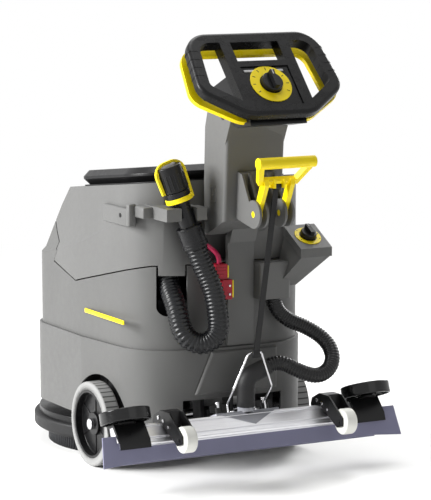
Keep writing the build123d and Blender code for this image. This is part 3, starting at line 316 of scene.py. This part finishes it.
def pin(bm, start, end, radius, edge=0.0, segments=28, place=Matrix()):
    """A round pin between two points, with a rounded rim at both ends."""
    start, end = place @ Vector(start), place @ Vector(end)
    turn = Vector((0, 0, 1)).rotation_difference(end - start).to_matrix().to_4x4()
    made = bmesh.ops.create_cone(bm, cap_ends=True, segments=segments, radius1=radius, radius2=radius,
                                 depth=(end - start).length,
                                 matrix=Matrix.Translation((start + end) / 2) @ turn)
    if edge:
        rims = [e for e in {e for v in made["verts"] for e in v.link_edges}
                if any(len(f.verts) > 4 for f in e.link_faces)]
        bmesh.ops.bevel(bm, geom=rims, offset=edge, affect="EDGES", segments=2, profile=0.5, material=-1)


def ready(piece, body):
    """A piece rides on its body."""
    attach(piece, body)


# Rotomoulded polyethylene: mid grey and matt, with soft broad highlights.
body_plastic = moulded("rotomoulded_polyethylene", "555554", "5D5D5C", 0.47)
dress("lower_tank", body_plastic, 3.0)
dress("rear_cover", body_plastic, 1.5)

# A plain yellow bar stuck along the left side, above the belt. Injection-moulded ABS is even and glossy.
yellow_abs = moulded("moulded_abs_yellow", "EED400", "F8E010", 0.32, 1.0, 0.05)
bm = bmesh.new()
slab(bm, (-0.2472, -0.2440), (-0.156, 0.050), (0.354, 0.364), 0.0010)
ready(piece_from(bm, "side_bar", yellow_abs), "chassis")

# ---- dirty-water tank ----------------------------------------------------------------------------
# The tipping upper tank is moulded like the body. A ledge runs round its sides, and a block with a
# rubber button and an upright rib stands on its left shoulder beside the hook.
# The same polyethylene, a shade lighter.
tank_plastic = moulded("rotomoulded_polyethylene_light", "5B5B5A", "636362", 0.45)
dress("upper_tank", tank_plastic, 3.5)
dress("hose_hook", tank_plastic, 2.0)
bm = bmesh.new()
slab(bm, (-0.2375, -0.2150), (-0.158, -0.030), (0.580, 0.622), 0.0050, segments=3)
slab(bm, (-0.2400, -0.2200), (-0.172, -0.156), (0.582, 0.634), 0.0040)       # the rib
slab(bm, (-0.2250, -0.1900), (-0.215, -0.165), (0.604, 0.630), 0.0030)
ready(piece_from(bm, "shoulder_block", tank_plastic), "dirty_water_tank")
# Nitrile rubber, pressed in a mould: black and matt.
soft_black = moulded("nitrile_rubber", "111112", "181819", 0.55, 1.0, 0.15)
bm = bmesh.new()
pin(bm, (-0.2360, -0.124, 0.604), (-0.2395, -0.124, 0.604), 0.0050, 0.0010)
ready(piece_from(bm, "shoulder_button", soft_black), "dirty_water_tank")

# ---- tank lid ------------------------------------------------------------------------------------
# A black ABS lid, hinged at its front edge, closes on a rubber seal; a white strainer hangs inside.
# Injection-moulded ABS is a deep black whose fine texture softens reflections. Cast nylon is off-white
# and slightly waxy.
black_abs = moulded("moulded_abs_black", "0D0D0E", "131314", 0.32, 0.9, 0.06, 0.24)
strainer_plastic = moulded("cast_nylon", "D8D8D2", "E6E6E0", 0.35, 1.5, 0.05)
dress("tank_lid", black_abs, 3.0)
dress("lid_seal", soft_black, 0.5)
dress("float_strainer", strainer_plastic, 0.8)

# ---- drain tube, cap and strap -------------------------------------------------------------------
# The hose ends in a rigid black tube with a ribbed cuff and a screw cap; a soft yellow loop over the
# cap keeps it on the tube. A lip on the cuff and grip ribs on the cap are moulded in.
# The elastomer is a duller yellow than hard plastic, and hard PVC is near black and smooth.
yellow_tpe = moulded("soft_elastomer_yellow", "F0D800", "F8E21A", 0.42, 1.0, 0.05)
cuff_black = moulded("hard_pvc_black", "0E0E10", "141416", 0.28, 1.0, 0.03, 0.26)
dress("drain_tube", cuff_black, 1.0)
dress("drain_cap", black_abs, 2.5)
dress("cap_strap", yellow_tpe, 1.2)
along = drain_axis.normalized()
bm = bmesh.new()
CUFF_FOOT = drain_low + 0.0025 * drain_axis
for reach, radius, depth in ((0.001, 0.0303, 0.004), (0.010, 0.0299, 0.0022), (0.0445, 0.0303, 0.005)):
    foot = CUFF_FOOT + reach * along
    pin(bm, foot, foot + depth * along, radius, 0.0008, 48)
ready(piece_from(bm, "cuff_lips", cuff_black), "dirty_water_tank")
bm = bmesh.new()
side = along.cross(Vector((0, -1, 0))).normalized()
CAP_RIBS, CAP_RIB_AT, CAP_RIB_LONG = 18, 0.0286, 0.036
for k in range(CAP_RIBS):
    out = Matrix.Rotation(math.radians(360 / CAP_RIBS * k), 4, along) @ side
    low = drain_low + 0.136 * drain_axis + CAP_RIB_AT * out
    pin(bm, low, low + CAP_RIB_LONG * along, 0.0018, 0.0006, 10)
ready(piece_from(bm, "cap_ribs", black_abs), "drain_cap")

# ---- control column ------------------------------------------------------------------------------
# The column is a hollow grey ABS moulding bolted to the body's rear wall. It carries the handle, the
# lever bracket and, on its left face, an embossed frame and a screw in a black recess.
# Grey ABS, as dark as the body and a little smoother.
column_plastic = moulded("moulded_abs_grey", "585857", "60605F", 0.40)
dress("control_column", column_plastic, 4.0)
dress("lever_bracket", column_plastic, 2.5)
bm = bmesh.new()
for y, z in (((-0.286, -0.283), (0.640, 0.676)), ((-0.263, -0.260), (0.640, 0.676)),     # two uprights
             ((-0.286, -0.260), (0.640, 0.643)), ((-0.286, -0.260), (0.673, 0.676)),     # foot and head
             ((-0.278, -0.268), (0.655, 0.658))):                                        # a short bar inside
    slab(bm, (-0.0774, -0.0755), y, z, 0.0004)
ready(piece_from(bm, "column_emboss", column_plastic), "chassis")
bm = bmesh.new()
for sign in (-1, 1):
    pin(bm, (sign * 0.0755, -0.318, 0.843), (sign * 0.0768, -0.318, 0.843), 0.0115, 0.0004, 36)
    pin(bm, (sign * 0.0755, -0.312, 0.856), (sign * 0.0768, -0.312, 0.856), 0.0070, 0.0004, 30)
ready(piece_from(bm, "screw_recess", black_abs), "chassis")


# ---- screws and nuts -----------------------------------------------------------------------------
# Zinc-plated and stainless fasteners, bright from turning.
LINE_MM = 1.1111                          # spacing of the fine lines


def brushed(name, dark, light, roughness, lines_along, stretch=60):
    """Metal with fine lines along one axis; the lines are drawn coarser than real so that they show."""
    material, tree = new_material(name)
    place = add(tree, "ShaderNodeTexCoord")
    squeeze = [1000 / LINE_MM] * 3
    squeeze["xyz".index(lines_along)] /= stretch
    lines = add(tree, "ShaderNodeMapping", [("Vector", place.outputs["Object"])], Scale=squeeze)
    brush = add(tree, "ShaderNodeTexNoise", [("Vector", lines.outputs[0])], Scale=1.0, Detail=3)
    skin = add(tree, "ShaderNodeBump", [("Height", brush.outputs["Fac"])], Strength=0.15, Distance=0.001)
    tint = add(tree, "ShaderNodeMix", [("Factor", brush.outputs["Fac"])],
               {6: linear(dark), 7: linear(light)}, data_type="RGBA")
    shader = add(tree, "ShaderNodeBsdfPrincipled",
                 [("Base Color", tint.outputs[2]), ("Normal", skin.outputs[0])],
                 Roughness=roughness, Metallic=1.0)
    add(tree, "ShaderNodeOutputMaterial", [("Surface", shader.outputs[0])])
    return material


# Turned steel: a bright mirror broken by faint short lines.
bright_steel = brushed("turned_steel", "B4B4B6", "D6D6D8", 0.22, "x", 8)
dress("bright_fasteners", bright_steel, 1.2)
dress("squeegee_bolts", bright_steel, 0.8)
dress("wheel_axle", bright_steel, 0.5)
bm = bmesh.new()
for sign in (-1, 1):
    depth = sorted((sign * 0.0785, sign * 0.0792))
    slab(bm, depth, (-0.3228, -0.3132), (0.8420, 0.8440))
    slab(bm, depth, (-0.3190, -0.3170), (0.8382, 0.8478))
ready(piece_from(bm, "screw_slots", black_abs, False), "chassis")

# ---- handle ring and grips -----------------------------------------------------------------------
# A black ABS ring with spokes is screwed to the head shell. Its two sides are wrapped in a softer
# rubber with raised bands, and the ring's rim is rounded like a tube.
HANDLE_TILT, HANDLE_T, RIM_W = 47.2, 0.028, 0.029         # degrees, then thickness and width
HANDLE = Matrix.Translation((0, -0.456, 0.861)) @ Matrix.Rotation(math.radians(HANDLE_TILT), 4, "X")
# ABS worn satin by hands, and a grip rubber that is a little duller.
satin_abs = moulded("satin_abs_black", "0A0A0B", "0F0F10", 0.28, 0.9, 0.04, 0.2)
grip_rubber = moulded("grip_rubber", "0A0A0B", "0F0F10", 0.36, 0.8, 0.1, 0.2)
dress("handle_ring", satin_abs, 2.0)
dress("hand_grips", grip_rubber, 2.0)
dress("head_shell", black_abs, 3.0)
rim_side, rim_far = Vector((0.184, 0.064, 0)), Vector((0.168, 0.226, 0))
BAND_HALF, BAND_PROUD, BAND_ROUND = 0.0016, 0.0006, 0.0092
run = rim_far - rim_side
bm = bmesh.new()
for sign in (-1, 1):
    for share in (0.27, 0.41, 0.55, 0.69):
        spot = rim_side + share * run + Vector((-RIM_W / 2, 0, -HANDLE_T / 2))
        spot.x *= sign
        lean = Matrix.Rotation(sign * math.atan2(-run.x, run.y), 4, "Z")
        slab(bm, (-RIM_W / 2 - BAND_PROUD, RIM_W / 2 + BAND_PROUD), (-BAND_HALF, BAND_HALF),
             (-HANDLE_T / 2 - BAND_PROUD, HANDLE_T / 2 + BAND_PROUD), 0.0,
             HANDLE @ Matrix.Translation(spot) @ lean)
# The short edges along the rim are rounded, so that each band wraps the tube.
unturn = HANDLE.inverted().to_3x3()
short_edges = []
for e in bm.edges:
    across = e.verts[0].co - e.verts[1].co
    if abs((unturn @ across).y) > 0.0028 and across.length < 0.0045:
        short_edges.append(e)
bmesh.ops.bevel(bm, geom=short_edges, offset=BAND_ROUND, affect="EDGES", segments=6, profile=0.5,
                material=-1)
ready(piece_from(bm, "grip_bands", grip_rubber, False), "chassis")

# ---- control panel, dial and knobs ---------------------------------------------------------------
# A black panel sunk in the ring, with two light display strips, and a rotary programme knob on a
# yellow scale; a second, smaller knob doses the water on the right rear block.
dress("control_panel", satin_abs, 1.0)
dress("scale_rings", yellow_abs, 0.5)
dress("program_knob", black_abs, 1.2)
dress("dosing_knob", black_abs, 1.2)
dress("dosing_housing", column_plastic, 3.0)
DIAL = HANDLE @ Matrix.Translation((0, 0.076, -0.003))
DOSE_SLOPE = math.atan2(45, 82)           # the block's face falls 45 mm over 82 mm
DOSE = Matrix.Translation((0.1765, -0.267, 0.5455)) @ Matrix.Rotation(DOSE_SLOPE, 4, "X")
# Printed film under the panel's face: pale grey and smooth.
display_grey = moulded("printed_film_grey", "B4B4B6", "C4C4C6", 0.25, 1.0, 0.02)
bm = bmesh.new()
for x in ((-0.054, -0.020), (0.000, 0.046)):
    slab(bm, x, (0.1120, 0.1180), (-0.0034, -0.0024), 0.0003, HANDLE)
ready(piece_from(bm, "display_strips", display_grey), "chassis")
bm = bmesh.new()
SWEEP = 240                               # degrees from the first mark to the last
for dial, count, reach, length in ((DIAL, 9, 0.0385, 0.007), (DOSE, 7, 0.0265, 0.004)):
    for k in range(count):
        around = dial @ Matrix.Rotation(math.radians(SWEEP * k / (count - 1) - SWEEP / 2), 4, "Z")
        slab(bm, (-0.0008, 0.0008), (reach, reach + length), (0.0019, 0.0023), 0.0, around)
ready(piece_from(bm, "scale_marks", black_abs, False), "chassis")
bm = bmesh.new()
slab(bm, (-0.0010, 0.0010), (0.010, 0.0235), (0.0254, 0.0262), 0.0, DIAL)
ready(piece_from(bm, "program_pointer", display_grey, False), "program_knob")
bm = bmesh.new()
slab(bm, (-0.0008, 0.0008), (0.007, 0.0160), (0.0244, 0.0252), 0.0, DOSE)
ready(piece_from(bm, "dosing_pointer", display_grey, False), "dosing_knob")

# ---- dead-man bail -------------------------------------------------------------------------------
# A yellow painted steel loop under the ring; squeezing it against the grips starts the brush.
# Powder coat: an even, glossy yellow skin.
yellow_paint = moulded("powder_coat_yellow", "EED400", "F8E010", 0.28, 0.8, 0.05)
dress("deadman_bail", yellow_paint, 2.5)

# ---- lift lever and strap ------------------------------------------------------------------------
# The yellow ABS lever turns on two pins in the bracket and pulls the squeegee up by a flat black
# strap, whose lower end clips over the squeegee's wire yoke.
dress("lift_lever", yellow_abs, 1.8)
dress("lift_strap", black_abs, 0.5)
bm = bmesh.new()
slab(bm, (-0.0090, 0.0090), (-0.3421, -0.3358), (0.2860, 0.3060), 0.0012)
ready(piece_from(bm, "strap_clip", black_abs), "lift_strap")

# ---- battery plugs -------------------------------------------------------------------------------
# Two red ABS plug halves join the batteries to the machine; yellow latches and two screws show.
# The same moulded ABS in a deep red.
red_abs = moulded("moulded_abs_red", "98182A", "A81E30", 0.32, 1.2, 0.05)
dress("battery_plug_lower", red_abs, 1.5)
dress("battery_plug_upper", red_abs, 1.5)
bm = bmesh.new()
slab(bm, (-0.0200, -0.0168), (-0.2625, -0.2360), (0.416, 0.456), 0.0006)
slab(bm, (-0.0300, -0.0268), (-0.2575, -0.2360), (0.462, 0.490), 0.0006)
ready(piece_from(bm, "plug_latches", yellow_abs), "chassis")
bm = bmesh.new()
for z in (0.424, 0.444):
    pin(bm, (-0.028, -0.2628, z), (-0.028, -0.2652, z), 0.0028, 0.0006, 16)
ready(piece_from(bm, "plug_screws", bright_steel), "chassis")
bm = bmesh.new()
for z in (0.468, 0.476, 0.484):
    slab(bm, (-0.0590, -0.0350), (-0.2592, -0.2570), (z, z + 0.003), 0.0005)
ready(piece_from(bm, "plug_ribs", red_abs), "chassis")

# ---- parts inside the body -----------------------------------------------------------------------
# Two lead-acid batteries in black polypropylene, the suction turbine, and the water filter's bowl.
# Polypropylene is dull, polished ABS is wet-looking, and powder coat is finely pebbled.
battery_case = moulded("ribbed_polypropylene", "141416", "1B1B1D", 0.45)
gloss_abs = moulded("polished_abs_black", "0B0B0C", "111112", 0.14, 3.0, 0.03)
black_coat = moulded("powder_coat_black", "151516", "1C1C1D", 0.4, 0.8, 0.2)
dress("battery_pack", battery_case, 2.0)
dress("suction_turbine", black_abs, 1.5)
dress("water_filter", gloss_abs, 1.5)
dress("chassis_frame", black_coat, 1.0)
dress("filler_cap", black_abs, 2.0)

# ---- brush deck and brush ------------------------------------------------------------------------
# A moulded deck with a rubber ring covers the disc brush. The brush is a polypropylene disc with
# stiff black nylon tufts set in rings; a real one has more and thinner tufts.
# Polypropylene is pale and waxy. Nylon tufts are near black, each with a dull gleam.
brush_block = moulded("moulded_polypropylene", "B8B4A4", "C4C0B0", 0.5)
tuft_nylon = moulded("nylon_tufts", "1A1B1D", "26272A", 0.5, 1.4, 0.6)
dress("brush_deck", black_abs, 2.0)
dress("deck_bumper", soft_black, 1.0)
dress("brush_motor", black_coat, 1.5)
dress("brush_disc", brush_block, 1.0)
BRUSH_Y, TUFT_TOP, TUFT_GAP = 0.222, 0.043, 0.0002
TUFT_FOOT_R, TUFT_ROOT_R = 0.0042, 0.0034
bm = bmesh.new()
for ring_r, count in ((0.2365, 168), (0.212, 104), (0.184, 90), (0.156, 76), (0.128, 62), (0.100, 48)):
    for k in range(count):
        turn = 2 * math.pi * (k + 0.5 * (count % 4 == 0)) / count
        middle = (ring_r * math.cos(turn), BRUSH_Y + ring_r * math.sin(turn), TUFT_TOP / 2 + TUFT_GAP)
        bmesh.ops.create_cone(bm, cap_ends=True, segments=7, radius1=TUFT_FOOT_R, radius2=TUFT_ROOT_R,
                              depth=TUFT_TOP, matrix=Matrix.Translation(middle))
tufts = piece_from(bm, "brush_tufts", tuft_nylon)
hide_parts("brush_bristles")
ready(tufts, "brush")

# ---- wheels --------------------------------------------------------------------------------------
# Black moulded rims with six ribs carry solid grey non-marking tyres with cross grooves. The rubber
# is matt and pale; dark strips in its grooves stand for the shadow there.
tyre_rubber = moulded("non_marking_rubber", "858584", "929291", 0.6, 1.0, 0.2)
groove_grey = moulded("groove_shadow_rubber", "3A3A3A", "444444", 0.7, 1.0, 0.2)
AXLE_Y, WHEEL_R, WHEEL_MID = -0.022, 0.100, 0.253
GROOVES, GROOVE_DEEP, GROOVE_PROUD, RIM_RIBS = 44, 0.004, 0.00015, 6
for sign, hand in ((-1, "left"), (1, "right")):
    dress(hand + "_wheel_rim", black_abs, 1.5)
    dress(hand + "_wheel_tyre", tyre_rubber)
    hub = Matrix.Translation((0, AXLE_Y, WHEEL_R))
    bm = bmesh.new()
    middle = sign * WHEEL_MID
    for k in range(GROOVES):
        around = hub @ Matrix.Rotation(2 * math.pi * k / GROOVES, 4, "X")
        slab(bm, (middle - 0.0150, middle + 0.0150), (-0.0016, 0.0016),
             (WHEEL_R - GROOVE_DEEP, WHEEL_R + GROOVE_PROUD), 0.0, around)
    ready(piece_from(bm, hand + "_tyre_grooves", groove_grey, False), hand + "_wheel")
    bm = bmesh.new()
    for k in range(RIM_RIBS):
        around = hub @ Matrix.Rotation(2 * math.pi * k / RIM_RIBS, 4, "X")
        slab(bm, sorted((sign * 0.2390, sign * 0.2560)), (-0.0022, 0.0022), (0.024, 0.074), 0.0008, around)
    ready(piece_from(bm, hand + "_rim_ribs", black_abs), hand + "_wheel")

# ---- squeegee ------------------------------------------------------------------------------------
# An extruded aluminium beam clamps two grey polyurethane blades. A coated steel plate with a suction
# nozzle sits on top, held by wing nuts, and a bent wire yoke takes the lift strap.
# Extruded aluminium has long pale lines from the die. Polyurethane is a smooth bluish grey, and the
# plate's powder coat is pale and finely pebbled.
extruded = brushed("extruded_aluminium", "D2D2D6", "EEEEF0", 0.36, "x")
blade_rubber = moulded("blade_polyurethane", "74748A", "80809A", 0.42, 1.5, 0.04)
grey_coat = moulded("powder_coat_grey", "8E8F94", "9C9DA4", 0.36, 0.8, 0.12)
dress("squeegee_arm", black_coat, 1.0)
dress("squeegee_plate", grey_coat, 0.5)
dress("squeegee_beam", extruded, 0.5)
dress("front_blade", blade_rubber, 0.4)
dress("rear_blade", blade_rubber, 0.4)
dress("suction_nozzle", soft_black, 1.0)
dress("wire_yoke", bright_steel)
dress("left_wing_nut", black_abs, 1.0)
dress("right_wing_nut", black_abs, 1.0)
LIFT_PIVOT, LIFT_ANGLE = Vector((0, -0.131, 0.125)), -20          # raised, in degrees
LIFT = (Matrix.Translation(LIFT_PIVOT) @ Matrix.Rotation(math.radians(LIFT_ANGLE), 4, "X")
        @ Matrix.Translation(-LIFT_PIVOT))
BEAM_HALF, BEAD_LOW, BEAD_HIGH, BEAM_LEAN = 0.345, 0.0595, 0.0870, 0.46
bm = bmesh.new()
for z in (BEAD_LOW, BEAD_HIGH):
    back = (z - BEAD_LOW) * BEAM_LEAN
    slab(bm, (-BEAM_HALF, BEAM_HALF), (-0.3195 + back, -0.3165 + back), (z, z + 0.0012), 0.0004, LIFT)
ready(piece_from(bm, "beam_beads", extruded), "squeegee")

# ---- end brackets, bumper discs and rollers ------------------------------------------------------
# Black moulded brackets clip over the beam's ends. Each carries a free-turning bumper disc, and two
# forks further in carry white nylon rollers; small bright screws hold the forks.
dress("end_brackets", black_abs, 1.2)
dress("roller_forks", black_abs, 1.2)
# Cast nylon: white, slightly glossy.
roller_nylon = moulded("white_cast_nylon", "D8D8D2", "E8E8E2", 0.35, 1.5, 0.05)
for hand in ("left", "right"):
    dress(hand + "_bumper_disc", gloss_abs)
    dress(hand + "_roller", roller_nylon)
FORK_X, FORK_HALF, SCREW_SUNK, SCREW_PROUD = 0.208, 0.0200, 0.001, 0.0022
bm = bmesh.new()
for sign in (-1, 1):
    for face in (-FORK_HALF, FORK_HALF):
        x, outward = sign * FORK_X + face, math.copysign(1, face)
        for y, z, radius in ((-0.296, 0.104, 0.0050), (-0.318, 0.092, 0.0042), (-0.338, 0.074, 0.0034)):
            pin(bm, (x - outward * SCREW_SUNK, y, z), (x + outward * SCREW_PROUD, y, z), radius, 0.0006, 20,
                LIFT)
ready(piece_from(bm, "fork_screws", bright_steel), "squeegee")
